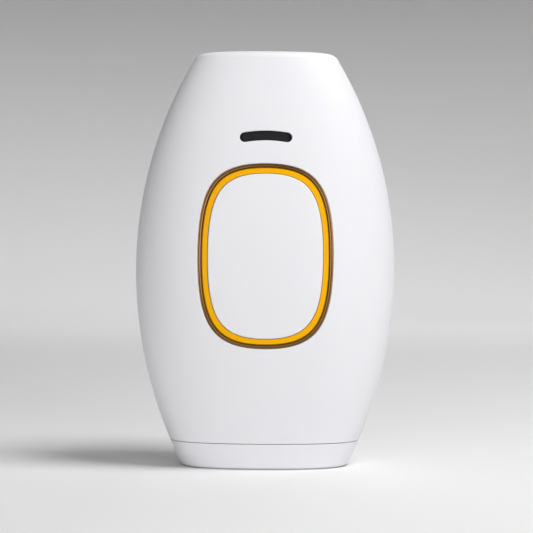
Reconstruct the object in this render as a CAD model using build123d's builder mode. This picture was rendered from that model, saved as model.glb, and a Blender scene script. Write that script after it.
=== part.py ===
from build123d import *
from math import cos, pi, sin, sqrt
import os

# Handheld intense-pulsed-light hair remover: an oval two-shell casing on a base cap, with the
# treatment window in its top face, a flash button in a trim ring on its front, an indicator
# window above that, and a power button, an air intake and an air outlet in its back.
# Millimetres. +Z is up, the front faces -Y, and the origin is under the middle of the base.

# Casing: each plan section is a full oval, and both outlines are arcs
HEIGHT = 128.0
WIDTH = 81.0
DEPTH = 40.0
WIDEST_Z = 61.0
BASE_WIDTH = 51.6
BASE_DEPTH = 28.0
TOP_WIDTH = 43.3
TOP_DEPTH = 24.0
FULLNESS = 0.69
WALL = 2.0
TOP_EDGE_RADIUS = 2.8
BASE_EDGE_RADIUS = 1.2
FOOT_HEIGHT = 0.4
FOOT_INSET = 1.3
SEAM_Z = 8.0
SEAM_GAP = 0.2
SEAM_DEPTH = 0.6
LIP_HEIGHT = 1.5
LIP_CLEARANCE = 1.0
TONGUE_HEIGHT = 3.0
TONGUE_WALL = 1.3
TONGUE_ROOT = 2.0
FIT = 0.05
PRESS_CLEARANCE = 0.01

# Trim ring and flash button, on the front
RING_Z = 65.0
RING_HALF_WIDTH = 20.5
RING_HALF_HEIGHT = 28.0
RING_FULLNESS = 0.765
RING_EDGE_RADIUS = 0.25
RING_RIM_EDGES = 4
BRONZE_RIM = 0.3
BRONZE_GROOVE = 0.25
BRONZE_LAND = 0.35
BRONZE_RIM_SINK = 0.25
BRONZE_GROOVE_SINK = 1.3
BRONZE_LAND_SINK = 0.7
BAND_WIDTH = 2.05
BAND_SINK = 0.2
BAND_DROP = 0.6
BAND_CREST = 0.1
BUTTON_GAP = 0.15
BUTTON_THICKNESS = 2.2
BUTTON_EDGE_RADIUS = 0.4
POCKET_DEPTH = 3.6
TRAY_WALL = 1.6
TRAY_FLOOR = 1.4
BUTTON_STEM_RADIUS = 2.2
STEM_HOLE_RADIUS = 2.7
SPRING_SPACING = 30.0
SPRING_CUP_RADIUS = 3.0
SPRING_CUP_WALL = 1.0
SPRING_CUP_DEPTH = 1.2
SPRING_SEAT_RADIUS = 2.7
SPRING_SEAT_DROP = 1.1
SPRING_RADIUS = 2.2
SPRING_WIRE = 0.25
SPRING_TURNS = 3
HOOK_X = 10.0
HOOK_THICKNESS = 1.2
HOOK_WIDTH = 4.0
HOOK_BARB = 0.7
HOOK_REACH = 1.7
HOOK_PLAY = 0.05

# Tactile switches
SWITCH_SIZE = 6.0
SWITCH_CORNER = 0.4
SWITCH_HEIGHT = 3.5
PLUNGER_RADIUS = 1.75
PLUNGER_RISE = 1.0
PLUNGER_TRAVEL = 0.3
CONTACT_GAP = 0.02

# Indicator window, above the ring
INDICATOR_FROM_TOP = 26.5
INDICATOR_LENGTH = 15.9
INDICATOR_HEIGHT = 3.0
INDICATOR_ARC = 38.0
INDICATOR_EDGE_RADIUS = 0.2
SLOT_RIM_EDGES = 6
LENS_LENGTH = 13.8
LENS_SINK = 0.7
LENS_GAP = 0.3
LENS_FLANGE = 1.2
LENS_FLANGE_THICKNESS = 0.8
LED_COUNT = 5
LED_PITCH = 2.7
LED_SIZE = 1.6
LED_HEIGHT = 1.0
BAFFLE_WALL = 0.6

# Treatment window and lamp, in the top
BEZEL_LENGTH = 36.6
BEZEL_WIDTH = 15.0
BEZEL_CORNER = 5.4
BEZEL_FLANGE = 1.2
BEZEL_STEP = 0.5
BEZEL_PLATE = 1.4
WINDOW_LENGTH = 26.0
WINDOW_WIDTH = 9.6
WINDOW_CORNER = 1.5
WINDOW_CHAMFER = 0.5
GLASS_LEDGE = 0.8
GLASS_THICKNESS = 1.8
GASKET_THICKNESS = 0.8
GASKET_WIDTH = 1.2
PIN_X = 15.95
PIN_RADIUS = 1.3
PIN_RISE = 0.8
PIN_FLANGE_RADIUS = 1.6
PIN_FLANGE = 0.8
PIN_STEM_RADIUS = 0.8
PIN_STEM = 2.4
PIN_SPRING_RADIUS = 1.25
PIN_SPRING_WIRE = 0.15
PIN_SPRING_TURNS = 4
PIN_WELL_RADIUS = 1.65
PIN_WELL_DEPTH = 1.6
SENSOR_CONTACT = 0.3
HOLDER_LENGTH = 39.0
HOLDER_WIDTH = 13.8
HOLDER_HEIGHT = 13.6
HOLDER_CAVITY = 28.4
HOLDER_CORNER = 1.5
REFLECTOR_HALF_WIDTH = 5.6
REFLECTOR_SHEET = 0.6
TUBE_RADIUS = 2.25
TUBE_WALL = 0.5
TUBE_LENGTH = 31.0
TUBE_LIFT = 3.4
ELECTRODE_RADIUS = 0.8
ELECTRODE_LENGTH = 4.0
CAP_RADIUS = 2.6
CAP_LENGTH = 3.4
CAP_OVERLAP = 0.9
HEAT_SINK_PLATE = 2.0
HEAT_SINK_HEIGHT = 12.0
FIN_COUNT = 9
FIN_THICKNESS = 1.2
FIN_LENGTH = 12.6
FIN_SPREAD = 28.0
HOLDER_SCREW_X = 17.4
HOLDER_SCREW_Y = 4.9
HOLDER_SCREW_LENGTH = 7.0
EAR_LENGTH = 3.0
EAR_HEIGHT = 2.0
EAR_WIDTH = 8.0
EAR_DROP = 4.5
CLAMP_WALL = 1.3
THERMOSTAT_SIZE = 6.0
THERMOSTAT_LENGTH = 8.0
THERMOSTAT_THICKNESS = 2.4

# Circuit boards
SWITCH_ROOM = 4.4
CONTROL_THICKNESS = 1.2
CONTROL_HALF_WIDTH = 16.0
CONTROL_BOTTOM = 41.0
CONTROL_OVER_INDICATOR = 4.5
CONTROL_SCREW_X = 13.0
CONTROL_SCREW_DROP = 19.0
BOARD_GAP = 4.0
POWER_THICKNESS = 1.6
POWER_HALF_WIDTH = 26.0
POWER_BOTTOM = 22.5
POWER_TOP = 67.0
POWER_SCREW_X = 23.0
POWER_SCREW_INSET = 4.0
BOARD_CORNER = 2.0
BOARD_SCREW_RADIUS = 1.0
BOARD_SCREW_LENGTH = 4.5
BOARD_BOSS_RADIUS = 2.5
CHIP_SIZE = 7.0
CHIP_HEIGHT = 1.0
CHIP_RISE = 7.0
HEADER_LENGTH = 12.0
HEADER_WIDTH = 2.5
HEADER_RISE = 5.0
TRANSFORMER_X = -13.0
TRANSFORMER_LENGTH = 15.0
TRANSFORMER_WIDTH = 12.0
TRANSFORMER_HEIGHT = 12.0
CORE_BAR = 3.0
TRIGGER_RADIUS = 4.5
TRIGGER_HEIGHT = 8.0
TRANSISTOR_X = 13.5
TRANSISTOR_WIDTH = 10.0
TRANSISTOR_HEIGHT = 9.0
TRANSISTOR_THICKNESS = 4.4
TAB_THICKNESS = 1.3
TAB_LENGTH = 6.0
TAB_HOLE_RADIUS = 1.8
UPPER_ROW_DROP = 8.5
FILTER_CAP_RADIUS = 4.0
FILTER_CAP_HEIGHT = 11.5
FILTER_CAP_X = 20.8
FILTER_CAP_Z = 37.0

# Flash capacitor
CAPACITOR_RADIUS = 11.0
CAPACITOR_LENGTH = 41.0
CAPACITOR_Z = 81.0
CAPACITOR_SLEEVE = 0.3
CAPACITOR_EDGE_RADIUS = 0.8
CAPACITOR_GAP = 2.4
CAPACITOR_PIN_SPACING = 10.0
SADDLE_WIDTH = 3.0
SADDLE_INSET = 1.0
SADDLE_X = 13.0
SADDLE_START = 3.0

# Fan, behind the intake grille
FAN_Z = 36.0
FAN_SIZE = 30.0
FAN_THICKNESS = 10.0
FAN_FROM_BACK = 7.0
FAN_BORE_RADIUS = 14.2
FAN_TIP_RADIUS = 13.5
FAN_HUB_RADIUS = 6.5
FAN_PLATE = 1.4
FAN_STRUT = 2.0
FAN_BLADES = 7
FAN_BLADE_CHORD = 8.2
FAN_BLADE_THICKNESS = 0.8
FAN_ROOT_PITCH = 50.0
FAN_TIP_PITCH = 32.0
FAN_CORNER = 2.5
FAN_RUNNING_GAP = 0.5
FAN_HUB_WALL = 0.8
STATOR_RADIUS = 5.0
STATOR_HEIGHT = 4.5
FAN_SCREW_SPACING = 24.0
FAN_SCREW_RADIUS = 1.2
FAN_SCREW_BITE = 2.6
FAN_SCREW_HEAD = 1.9
FAN_BOSS_RADIUS = 2.5
SHAFT_RADIUS = 1.0
SHAFT_CLEARANCE = 0.03
BUSH_RADIUS = 2.2
BUSH_LENGTH = 3.4
GRILLE_RADIUS = 13.2
GRILLE_SLOTS = 9
GRILLE_PITCH = 2.8
GRILLE_SLOT = 1.5
OUTLET_FROM_TOP = 25.0
OUTLET_SLOTS = 5
OUTLET_PITCH = 2.9
OUTLET_LENGTH = 24.0
OUTLET_SLOT = 1.5

# Power button, on the back
POWER_BUTTON_Z = 62.0
POWER_BUTTON_RADIUS = 5.2
POWER_BUTTON_CLEARANCE = 0.15
POWER_BUTTON_FLANGE = 1.0
POWER_BUTTON_FLANGE_THICKNESS = 0.8
POWER_BUTTON_DISH = 0.5
POWER_BUTTON_DISH_RADIUS = 4.2
POWER_BUTTON_RISE = 0.3
POWER_BUTTON_SINK = 2.2
KEY_BOARD_WIDTH = 22.0
KEY_BOARD_HEIGHT = 10.0
KEY_BOARD_THICKNESS = 1.0
KEY_SCREW_X = 8.4
KEY_BOSS_RADIUS = 2.0

# Fasteners
CASE_SCREW_RADIUS = 1.3
CASE_SCREW_HEAD = 2.2
CASE_SCREW_HEAD_HEIGHT = 1.7
CASE_SCREW_SEAT = 3.0
CASE_SCREW_LENGTH = 11.0
CASE_BOSS_RADIUS = 3.6
LOWER_CASE_SCREW = (22.0, 16.0)
UPPER_CASE_SCREW = (26.2, 96.2)
BASE_SCREW_X = 15.0
BASE_SCREW_Y = 8.0
BASE_SCREW_LENGTH = 10.5
BASE_SCREW_RADIUS = 1.15
BASE_SCREW_HEAD = 2.0
BASE_SCREW_HEAD_HEIGHT = 1.2
BASE_BOSS_RADIUS = 2.6
BASE_BOSS_TOP = 15.0
SCREW_HOLE_CLEARANCE = 0.02
SCREW_PASS_CLEARANCE = 0.2
SCREW_END_ROOM = 0.3
RECESS_REACH = 1.2
RECESS_SLOT = 0.3
RECESS_DEPTH = 0.7
BOARD_SCREW_HEAD = 1.6
BOARD_SCREW_HEAD_HEIGHT = 1.2
BASE_SCREW_SEAT = 1.6
LIP_FROM_TOP = 16.0

# Power inlet, in the base
JACK_WIDTH = 9.0
JACK_BODY_HEIGHT = 12.5
JACK_NOSE_RADIUS = 4.4
JACK_NOSE_SINK = 0.4
JACK_BORE_RADIUS = 3.05
JACK_BORE_DEPTH = 10.0
JACK_PIN_RADIUS = 1.0
JACK_PIN_SINK = 1.0
JACK_PIN_ROOT_RADIUS = 1.4
JACK_TAG = 3.0
JACK_TAG_X = 3.0
JACK_WALL = 1.2
JACK_WALL_HEIGHT = 6.0

# Internal leads
LEAD_RADIUS = 0.8
LEAD_CLEARANCE = 0.6
LEAD_BEND = 1.1
LAMP_LEAD_DROP = 18.0
FAN_LEAD_XS = (5.4, 7.6)
KEY_LEAD_X = 5.6
KEY_LEAD_DROPS = (2.0, 4.0)

FRONT_Y = -DEPTH / 2
BACK_Y = DEPTH / 2
INDICATOR_Z = HEIGHT - INDICATOR_FROM_TOP
OUTLET_Z = HEIGHT - OUTLET_FROM_TOP
CONTROL_Y = FRONT_Y + POCKET_DEPTH + TRAY_FLOOR + SWITCH_ROOM
CONTROL_TOP = INDICATOR_Z + CONTROL_OVER_INDICATOR
POWER_Y = CONTROL_Y + CONTROL_THICKNESS + BOARD_GAP
POWER_REAR_Y = POWER_Y + POWER_THICKNESS
GLASS_TOP = HEIGHT - BEZEL_PLATE
GASKET_TOP = GLASS_TOP - GLASS_THICKNESS
HOLDER_TOP = GASKET_TOP - GASKET_THICKNESS
HOLDER_BOTTOM = HOLDER_TOP - HOLDER_HEIGHT
TUBE_Z = HOLDER_BOTTOM + TUBE_LIFT
FAN_BACK_Y = BACK_Y - FAN_FROM_BACK
FAN_FRONT_Y = FAN_BACK_Y - FAN_THICKNESS
UPPER_ROW_Z = POWER_TOP - UPPER_ROW_DROP
BRONZE_WIDTH = BRONZE_RIM + BRONZE_GROOVE + BRONZE_LAND
BUTTON_INSET = BRONZE_WIDTH + BAND_WIDTH + BUTTON_GAP

RING_PLANE = Plane(origin=(0, 0, RING_Z), x_dir=(1, 0, 0), z_dir=(0, -1, 0))
FAN_PLANE = Plane(origin=(0, FAN_FRONT_Y, FAN_Z), x_dir=(-1, 0, 0), z_dir=(0, 1, 0))
BACK_PLANE = Plane(origin=(0, 0, 0), x_dir=(-1, 0, 0), z_dir=(0, 1, 0))

case_screw_places = [
    (side * x, z)
    for x, z in (LOWER_CASE_SCREW, UPPER_CASE_SCREW)
    for side in (-1, 1)
]
control_screw_places = [
    (side * CONTROL_SCREW_X, RING_Z + rise * CONTROL_SCREW_DROP)
    for side in (-1, 1)
    for rise in (-1, 1)
]
power_screw_places = [
    (side * POWER_SCREW_X, z)
    for side in (-1, 1)
    for z in (POWER_BOTTOM + POWER_SCREW_INSET, POWER_TOP - POWER_SCREW_INSET)
]
base_screw_places = [(x, y) for x in (-BASE_SCREW_X, BASE_SCREW_X) for y in (-BASE_SCREW_Y, BASE_SCREW_Y)]
holder_screw_places = [
    (x, y)
    for x in (-HOLDER_SCREW_X, HOLDER_SCREW_X)
    for y in (-HOLDER_SCREW_Y, HOLDER_SCREW_Y)
]
spring_places = [(0, -SPRING_SPACING / 2), (0, SPRING_SPACING / 2)]


def bulge(full, bottom, top, z):
    """Half of the casing's width or depth at a height, on the two arcs of its outline."""
    end, reach = (bottom, WIDEST_Z) if z < WIDEST_Z else (top, HEIGHT - WIDEST_Z)
    sag = (full - end) / 2
    radius = (sag ** 2 + reach ** 2) / (2 * sag)
    return full / 2 - radius + sqrt(radius ** 2 - (z - WIDEST_Z) ** 2)


def oval(half_x, half_y, fullness):
    """Draw a closed oval of four curves, which is squarer the fuller it is (0.552 is an ellipse)."""
    for x, y in ((half_x, half_y), (-half_x, -half_y)):
        Bezier((x, 0), (x, fullness * y), (fullness * x, y), (0, y))
        Bezier((0, y), (-fullness * x, y), (-x, fullness * y), (-x, 0))


def casing(inset, low=0.0, high=HEIGHT, count=9):
    """The solid inside the casing's outer skin, moved in by an inset, between two heights."""
    with BuildPart() as blank:
        for step in range(count):
            z = low + (high - low) * step / (count - 1)
            half_x = bulge(WIDTH, BASE_WIDTH, TOP_WIDTH, z) - inset
            half_y = bulge(DEPTH, BASE_DEPTH, TOP_DEPTH, z) - inset
            with BuildSketch(Plane.XY.offset(z)):
                with BuildLine():
                    oval(half_x, half_y, FULLNESS)
                make_face()
        loft()
    return blank.part


def oval_layer(grow, hole, top, bottom):
    """A layer between two depths under the front skin, cut to the ring's oval grown by an amount."""
    upper = casing(top)
    lower = casing(bottom)
    with BuildPart() as layer:
        with BuildSketch(RING_PLANE):
            with BuildLine():
                oval(RING_HALF_WIDTH + grow, RING_HALF_HEIGHT + grow, RING_FULLNESS)
            make_face()
            if hole is not None:
                with BuildLine():
                    oval(RING_HALF_WIDTH + hole, RING_HALF_HEIGHT + hole, RING_FULLNESS)
                make_face(mode=Mode.SUBTRACT)
        extrude(amount=DEPTH)
        add(upper, mode=Mode.INTERSECT)
        add(lower, mode=Mode.SUBTRACT)
    return layer.part


def indicator_layer(grow, top, bottom):
    """A layer between two depths under the front skin, cut to the indicator's arched slot."""
    upper = casing(top)
    lower = casing(bottom)
    half_angle = (INDICATOR_LENGTH - INDICATOR_HEIGHT) / 2 / INDICATOR_ARC * 180 / pi
    with BuildPart() as layer:
        with BuildSketch(Plane.XZ):
            with BuildLine(mode=Mode.PRIVATE):
                centre = (0, INDICATOR_Z - INDICATOR_ARC)
                arc = CenterArc(centre, INDICATOR_ARC, 90 - half_angle, 2 * half_angle)
            SlotArc(arc, INDICATOR_HEIGHT + 2 * grow)
        extrude(amount=DEPTH)
        add(upper, mode=Mode.INTERSECT)
        add(lower, mode=Mode.SUBTRACT)
    return layer.part


def rim_edges(shell, half_x, half_z, middle_z, count):
    """The foremost edges round an opening through the front skin."""
    found = [
        edge for edge in shell.edges()
        if abs((edge @ 0.5).X) <= half_x + FIT and abs((edge @ 0.5).Z - middle_z) <= half_z + FIT
    ]
    return ShapeList(found).sort_by(lambda edge: (edge @ 0.5).Y)[:count]


def tactile_switch(face):
    """The square body of a tactile switch that stands on a plane, and its round plunger."""
    with BuildPart() as body:
        with BuildSketch(face):
            RectangleRounded(SWITCH_SIZE, SWITCH_SIZE, SWITCH_CORNER)
        extrude(amount=SWITCH_HEIGHT)
        with BuildSketch(face.offset(SWITCH_HEIGHT)):
            Circle(PLUNGER_RADIUS + FIT)
        extrude(amount=-PLUNGER_RISE, mode=Mode.SUBTRACT)
    with BuildPart() as plunger:
        with BuildSketch(face.offset(SWITCH_HEIGHT + PLUNGER_RISE)):
            Circle(PLUNGER_RADIUS)
        extrude(amount=2 * PLUNGER_TRAVEL - 2 * PLUNGER_RISE)
    return body, plunger


def screw(plane, places, radius, length, head_radius, head_height):
    """Pan-head screws whose heads stand on a plane, with a cross recess in each."""
    with BuildPart() as screws:
        with BuildSketch(plane):
            with Locations(*places):
                Circle(head_radius)
        extrude(amount=head_height)
        fillet(screws.edges().group_by(Axis(plane.origin, plane.z_dir))[-1], head_height / 3)
        with BuildSketch(plane):
            with Locations(*places):
                Circle(radius)
        extrude(amount=-length)
        chamfer(screws.edges().group_by(Axis(plane.origin, plane.z_dir))[0], radius / 3)
        with BuildSketch(plane.offset(head_height)):
            with Locations(*places):
                Rectangle(head_radius * RECESS_REACH, head_radius * RECESS_SLOT)
                Rectangle(head_radius * RECESS_SLOT, head_radius * RECESS_REACH)
        extrude(amount=-head_height * RECESS_DEPTH, mode=Mode.SUBTRACT)
    return screws


def leads(routes, radius):
    """Insulated wires, each along straight runs joined by arcs of one radius."""
    with BuildPart() as wires:
        for points in routes:
            with BuildLine() as route:
                FilletPolyline(*points, radius=radius)
            path = route.wires()[0]
            with BuildSketch(Plane(origin=path @ 0, z_dir=path % 0)):
                Circle(LEAD_RADIUS)
            sweep(path=path)
    return wires


def springs(places, plane, length, radius, wire, turns):
    """Compression springs that stand on a plane."""
    with BuildPart() as coils:
        for x, y in places:
            rise = length - 2 * wire
            with BuildLine():
                path = Helix(rise / turns, rise, radius, plane.from_local_coords((x, y, wire)), plane.z_dir)
            with BuildSketch(Plane(origin=path @ 0, z_dir=path % 0)):
                Circle(wire)
            sweep(path=path, is_frenet=True)
    return coils


# Casing

cavity = casing(WALL, WALL, HEIGHT - WALL)
boss_limit = casing(WALL / 2)

with BuildPart() as casing_skin:
    add(casing(0))
    fillet(casing_skin.edges().group_by(Axis.Z)[-1], TOP_EDGE_RADIUS)
    fillet(casing_skin.edges().group_by(Axis.Z)[0], BASE_EDGE_RADIUS)
    add(cavity, mode=Mode.SUBTRACT)

with BuildPart() as foot_step:
    with BuildSketch(Plane.XY):
        Rectangle(2 * WIDTH, 2 * DEPTH)
    extrude(amount=FOOT_HEIGHT)
    add(casing(FOOT_INSET), mode=Mode.SUBTRACT)

with BuildPart() as seam_groove:
    with BuildSketch(Plane.XY):
        Rectangle(2 * WIDTH, SEAM_GAP)
    extrude(amount=HEIGHT)
    add(casing(SEAM_DEPTH, 0, HEIGHT - SEAM_DEPTH), mode=Mode.SUBTRACT)

lip_bottom = SEAM_Z + TONGUE_HEIGHT + LIP_CLEARANCE
with BuildPart() as lip_space:
    with BuildSketch(Plane.XY.offset(lip_bottom)):
        with Locations((0, -LIP_HEIGHT / 2)):
            Rectangle(2 * WIDTH, LIP_HEIGHT + 2 * FIT)
    extrude(amount=HEIGHT - LIP_FROM_TOP - lip_bottom)
    add(boss_limit, mode=Mode.INTERSECT)

with BuildPart() as lip:
    with BuildSketch(Plane.XY.offset(lip_bottom + FIT)):
        Rectangle(2 * WIDTH, 2 * LIP_HEIGHT)
    extrude(amount=HEIGHT - LIP_FROM_TOP - lip_bottom - 2 * FIT)
    add(casing(WALL / 2 + FIT), mode=Mode.INTERSECT)
    add(cavity, mode=Mode.SUBTRACT)

ear_z = HOLDER_TOP - EAR_DROP - EAR_HEIGHT / 2
with BuildPart() as holder_clamps:
    with BuildSketch(Plane.XY.offset(ear_z - EAR_HEIGHT / 2 - CLAMP_WALL)):
        for side in (-1, 1):
            with Locations((side * (HOLDER_LENGTH / 2 + LEAD_CLEARANCE + WIDTH / 4), 0)):
                Rectangle(WIDTH / 2, EAR_WIDTH + 2 * CLAMP_WALL)
    extrude(amount=EAR_HEIGHT + 2 * CLAMP_WALL)
    with BuildSketch(Plane.XY.offset(ear_z - EAR_HEIGHT / 2 - FIT)):
        Rectangle(HOLDER_LENGTH + 2 * EAR_LENGTH + 2 * FIT, EAR_WIDTH + 2 * FIT)
    extrude(amount=EAR_HEIGHT + 2 * FIT, mode=Mode.SUBTRACT)
    add(boss_limit, mode=Mode.INTERSECT)

base_boss_bottom = SEAM_Z + TONGUE_HEIGHT + FIT
base_hole_top = BASE_SCREW_SEAT + BASE_SCREW_LENGTH + SCREW_END_ROOM
with BuildPart() as base_bosses:
    with BuildSketch(Plane.XY.offset(base_boss_bottom)):
        with Locations(*base_screw_places):
            Circle(BASE_BOSS_RADIUS)
        for x in (-BASE_SCREW_X, BASE_SCREW_X):
            for side in (-1, 1):
                with Locations((x, side * (BASE_SCREW_Y + DEPTH / 4))):
                    Rectangle(2 * BASE_BOSS_RADIUS, DEPTH / 2)
    extrude(amount=BASE_BOSS_TOP - base_boss_bottom)
    with BuildSketch(Plane.XY.offset(base_boss_bottom)):
        with Locations(*base_screw_places):
            Circle(BASE_SCREW_RADIUS + SCREW_HOLE_CLEARANCE)
    extrude(amount=base_hole_top - base_boss_bottom, mode=Mode.SUBTRACT)
    add(boss_limit, mode=Mode.INTERSECT)

with BuildPart() as bezel_opening:
    with BuildSketch(Plane.XY.offset(HEIGHT)):
        RectangleRounded(BEZEL_LENGTH + 2 * FIT, BEZEL_WIDTH + 2 * FIT, BEZEL_CORNER)
    extrude(amount=-BEZEL_FLANGE)
    with BuildSketch(Plane.XY.offset(HEIGHT)):
        RectangleRounded(
            BEZEL_LENGTH - 2 * BEZEL_STEP + 2 * FIT,
            BEZEL_WIDTH - 2 * BEZEL_STEP + 2 * FIT,
            BEZEL_CORNER - BEZEL_STEP,
        )
    extrude(amount=-2 * WALL)

with BuildPart() as front_bosses:
    with BuildSketch(Plane.XZ):
        with Locations(*case_screw_places):
            Circle(CASE_BOSS_RADIUS)
    extrude(amount=DEPTH)
    with BuildSketch(Plane.XZ.offset(-CONTROL_Y)):
        with Locations(*control_screw_places):
            Circle(BOARD_BOSS_RADIUS)
    extrude(amount=DEPTH)
    with BuildSketch(Plane.XZ.offset(-POWER_Y)):
        with Locations(*power_screw_places):
            Circle(BOARD_BOSS_RADIUS)
    extrude(amount=DEPTH)
    with BuildSketch(Plane.XZ):
        with Locations(*case_screw_places):
            Circle(CASE_SCREW_RADIUS + SCREW_HOLE_CLEARANCE)
    extrude(amount=CASE_SCREW_LENGTH - CASE_SCREW_SEAT + SCREW_END_ROOM, mode=Mode.SUBTRACT)
    add(boss_limit, mode=Mode.INTERSECT)

cup_floor_y = FRONT_Y + POCKET_DEPTH + TRAY_FLOOR + SPRING_CUP_DEPTH
with BuildPart() as spring_cups:
    with BuildSketch(RING_PLANE.offset(-cup_floor_y - SPRING_CUP_WALL)):
        with Locations(*spring_places):
            Circle(SPRING_CUP_RADIUS + SPRING_CUP_WALL)
    extrude(amount=DEPTH)
    add(casing(POCKET_DEPTH), mode=Mode.INTERSECT)

with BuildPart() as front_clamps:
    add(holder_clamps.part)
    add(base_bosses.part)
    split(bisect_by=Plane.XZ)

with BuildPart() as front_skin:
    add(casing_skin.part)
    split(bisect_by=Plane.XZ)
    split(bisect_by=Plane.XY.offset(SEAM_Z + SEAM_GAP / 2))
    add(indicator_layer(0, -1, WALL + 1), mode=Mode.SUBTRACT)
    slot_rim = rim_edges(front_skin, INDICATOR_LENGTH / 2, INDICATOR_HEIGHT, INDICATOR_Z, SLOT_RIM_EDGES)
    fillet(slot_rim, INDICATOR_EDGE_RADIUS)

with BuildPart() as front_shell:
    add(front_skin.part)
    add(lip_space.part, mode=Mode.SUBTRACT)
    add(seam_groove.part, mode=Mode.SUBTRACT)
    add(oval_layer(TRAY_WALL, None, WALL / 2, POCKET_DEPTH + TRAY_FLOOR))
    add(front_bosses.part)
    add(spring_cups.part)
    add(front_clamps.part)
    add(oval_layer(0, None, -1, POCKET_DEPTH), mode=Mode.SUBTRACT)
    ring_rim = rim_edges(front_shell, RING_HALF_WIDTH, RING_HALF_HEIGHT, RING_Z, RING_RIM_EDGES)
    fillet(ring_rim, RING_EDGE_RADIUS)
    add(bezel_opening.part, mode=Mode.SUBTRACT)
    with BuildSketch(RING_PLANE):
        Circle(STEM_HOLE_RADIUS)
        for side in (-1, 1):
            with Locations((side * (HOOK_X + HOOK_THICKNESS / 2), 0)):
                Rectangle(HOOK_THICKNESS + 2 * BUTTON_GAP, HOOK_WIDTH + 2 * BUTTON_GAP)
    extrude(amount=DEPTH, mode=Mode.SUBTRACT)
    with BuildSketch(RING_PLANE.offset(-cup_floor_y)):
        with Locations(*spring_places):
            Circle(SPRING_CUP_RADIUS)
    extrude(amount=DEPTH, mode=Mode.SUBTRACT)
    with BuildSketch(Plane.XZ.offset(-CONTROL_Y)):
        with Locations(*control_screw_places):
            Circle(BOARD_SCREW_RADIUS + SCREW_HOLE_CLEARANCE)
    extrude(amount=BOARD_SCREW_LENGTH - CONTROL_THICKNESS + SCREW_END_ROOM, mode=Mode.SUBTRACT)
    with BuildSketch(Plane.XZ.offset(-POWER_Y)):
        with Locations(*power_screw_places):
            Circle(BOARD_SCREW_RADIUS + SCREW_HOLE_CLEARANCE)
    extrude(amount=BOARD_SCREW_LENGTH - POWER_THICKNESS + SCREW_END_ROOM, mode=Mode.SUBTRACT)

key_face_y = (
    BACK_Y - POWER_BUTTON_SINK - POWER_BUTTON_FLANGE_THICKNESS
    - CONTACT_GAP - PLUNGER_RISE - SWITCH_HEIGHT
)
capacitor_y = CONTROL_Y + CONTROL_THICKNESS + CAPACITOR_GAP + CAPACITOR_RADIUS
key_screw_places = [(-KEY_SCREW_X, POWER_BUTTON_Z), (KEY_SCREW_X, POWER_BUTTON_Z)]
fan_screw_places = [
    (x * FAN_SCREW_SPACING / 2, FAN_Z + z * FAN_SCREW_SPACING / 2)
    for x in (-1, 1)
    for z in (-1, 1)
]

with BuildPart() as rear_bosses:
    with BuildSketch(Plane.XZ):
        with Locations(*case_screw_places):
            Circle(CASE_BOSS_RADIUS)
    extrude(amount=-DEPTH)
    with BuildSketch(Plane.XZ.offset(-FAN_BACK_Y)):
        with Locations(*fan_screw_places):
            Circle(FAN_BOSS_RADIUS)
    extrude(amount=-DEPTH)
    with BuildSketch(Plane.XZ.offset(-key_face_y)):
        with Locations(*key_screw_places):
            Circle(KEY_BOSS_RADIUS)
    extrude(amount=-DEPTH)
    with BuildSketch(Plane.XZ.offset(-capacitor_y - SADDLE_START)):
        with Locations((-SADDLE_X, CAPACITOR_Z), (SADDLE_X, CAPACITOR_Z)):
            Rectangle(SADDLE_WIDTH, 2 * (CAPACITOR_RADIUS - SADDLE_INSET))
    extrude(amount=-DEPTH)
    with BuildSketch(Plane.YZ.offset(-WIDTH / 2)):
        with Locations((capacitor_y, CAPACITOR_Z)):
            Circle(CAPACITOR_RADIUS + FIT)
    extrude(amount=WIDTH, mode=Mode.SUBTRACT)
    add(boss_limit, mode=Mode.INTERSECT)

with BuildPart() as rear_clamps:
    add(holder_clamps.part)
    add(base_bosses.part)
    split(bisect_by=Plane.XZ, keep=Keep.BOTTOM)

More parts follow.
